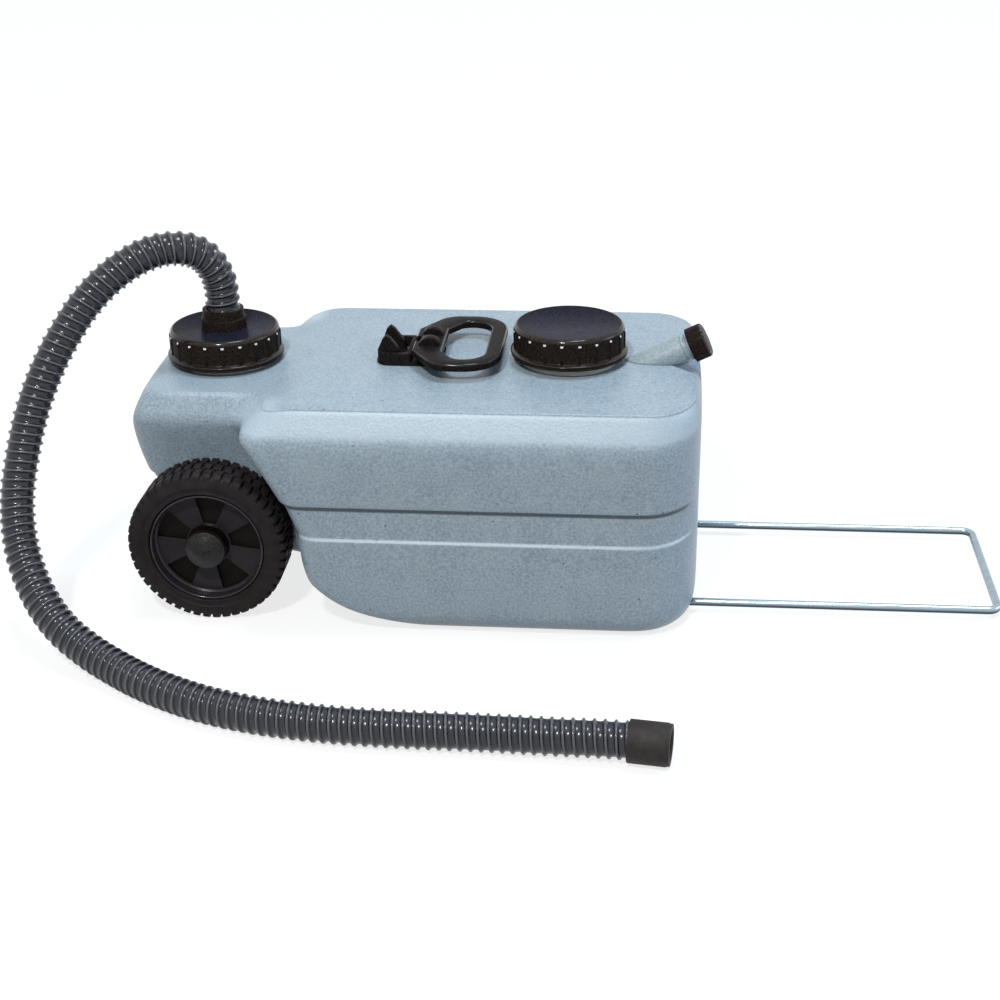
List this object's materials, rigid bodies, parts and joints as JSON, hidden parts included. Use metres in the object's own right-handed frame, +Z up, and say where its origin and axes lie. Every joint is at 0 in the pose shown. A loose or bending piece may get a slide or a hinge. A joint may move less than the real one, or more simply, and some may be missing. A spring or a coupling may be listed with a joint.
{
  "type": "portable waste water tank",
  "caption": "Low moulded waste water tank on two wheels, with a ribbed drain hose, wide screw caps, a pouring spout, a folding carry grip and a pull-out wire handle.",
  "frame": {"origin": "on the floor, under the middle of the tank's flat base", "axes": "+Z up, +X along the tank from the wheels towards the pull handle, -Y towards the front side that the picture shows"},
  "size_m": [0.9703, 0.5427, 0.3608],
  "materials": {
    "tank": "pale blue-grey blow-moulded polyethylene with a fine grain",
    "cap": "black moulded plastic, satin",
    "grip": "black moulded plastic, half gloss",
    "hose": "charcoal ribbed hose, half gloss",
    "seal": "black rubber",
    "tyre": "black rubber tread",
    "rim": "black moulded plastic, satin",
    "hub": "black moulded plastic, half gloss",
    "zinc": "bright zinc-plated steel"
  },
  "bodies": {
    "tank": {"tank_shell": "tank", "axle": "zinc", "front_axle_clip": "zinc", "rear_axle_clip": "zinc", "front_spacer": "rim", "rear_spacer": "rim", "front_outer_guide": "grip", "rear_outer_guide": "grip", "front_inner_guide": "grip", "rear_inner_guide": "grip", "grip_base": "grip", "grip_pin": "zinc", "front_grip_screw": "zinc", "rear_grip_screw": "zinc"},
    "front_wheel": {"front_wheel_rim": "rim", "front_tyre": "tyre", "front_hub_cap": "hub"},
    "rear_wheel": {"rear_wheel_rim": "rim", "rear_tyre": "tyre", "rear_hub_cap": "hub"},
    "handle": {"pull_handle": "zinc", "front_leg_stop": "zinc", "rear_leg_stop": "zinc"},
    "carry_loop": {"grip_loop": "grip"},
    "blank_seal": {"blank_cap_seal": "seal"},
    "blank_screw_cap": {"blank_cap": "cap"},
    "hose_fitting": {"hose_cap_seal": "seal", "hose_spigot": "grip", "drain_hose": "hose", "hose_end_cuff": "seal"},
    "hose_screw_cap": {"hose_cap": "cap"},
    "spout_seal": {"spout_cap_seal": "seal"},
    "spout_screw_cap": {"spout_cap": "cap"}
  },
  "joints": [
    {"name": "front_wheel_spin", "type": "hinge", "parent": "tank", "child": "front_wheel", "pos_m": [-0.3325, 0, 0.0786], "axis": [0, 1, 0], "continuous": true},
    {"name": "rear_wheel_spin", "type": "hinge", "parent": "tank", "child": "rear_wheel", "pos_m": [-0.3325, 0, 0.0786], "axis": [0, 1, 0], "continuous": true},
    {"name": "handle_slide", "type": "slide", "parent": "tank", "child": "handle", "axis": [1, 0, 0], "range_m": [-0.25, 0]},
    {"name": "carry_loop_fold", "type": "hinge", "parent": "tank", "child": "carry_loop", "pos_m": [-0.128, 0, 0.2455], "axis": [0, -1, 0], "range_deg": [0, 95]},
    {"name": "blank_cap_lift", "type": "slide", "parent": "tank", "child": "blank_seal", "axis": [0, 0, 1], "range_m": [0, 0.012]},
    {"name": "blank_cap_turn", "type": "hinge", "parent": "blank_seal", "child": "blank_screw_cap", "pos_m": [0.0136, 0, 0.25], "axis": [0, 0, 1], "range_deg": [0, 720]},
    {"name": "hose_fitting_lift", "type": "slide", "parent": "tank", "child": "hose_fitting", "axis": [0, 0, 1], "range_m": [0, 0.012]},
    {"name": "hose_cap_turn", "type": "hinge", "parent": "hose_fitting", "child": "hose_screw_cap", "pos_m": [-0.3313, 0, 0.245], "axis": [0, 0, 1], "range_deg": [0, 720]},
    {"name": "spout_cap_slide", "type": "slide", "parent": "tank", "child": "spout_seal", "axis": [0.8988, 0, 0.4384], "range_m": [0, 0.012]},
    {"name": "spout_cap_turn", "type": "hinge", "parent": "spout_seal", "child": "spout_screw_cap", "pos_m": [0.1443, 0, 0.2524], "axis": [0.8988, 0, 0.4384], "range_deg": [0, 1080]}
  ],
  "couplings": [
    {"joint": "blank_cap_lift", "follows": "blank_cap_turn", "m_per_rad": 0.000954},
    {"joint": "hose_fitting_lift", "follows": "hose_cap_turn", "m_per_rad": 0.000954},
    {"joint": "spout_cap_slide", "follows": "spout_cap_turn", "m_per_rad": 0.000636}
  ]
}
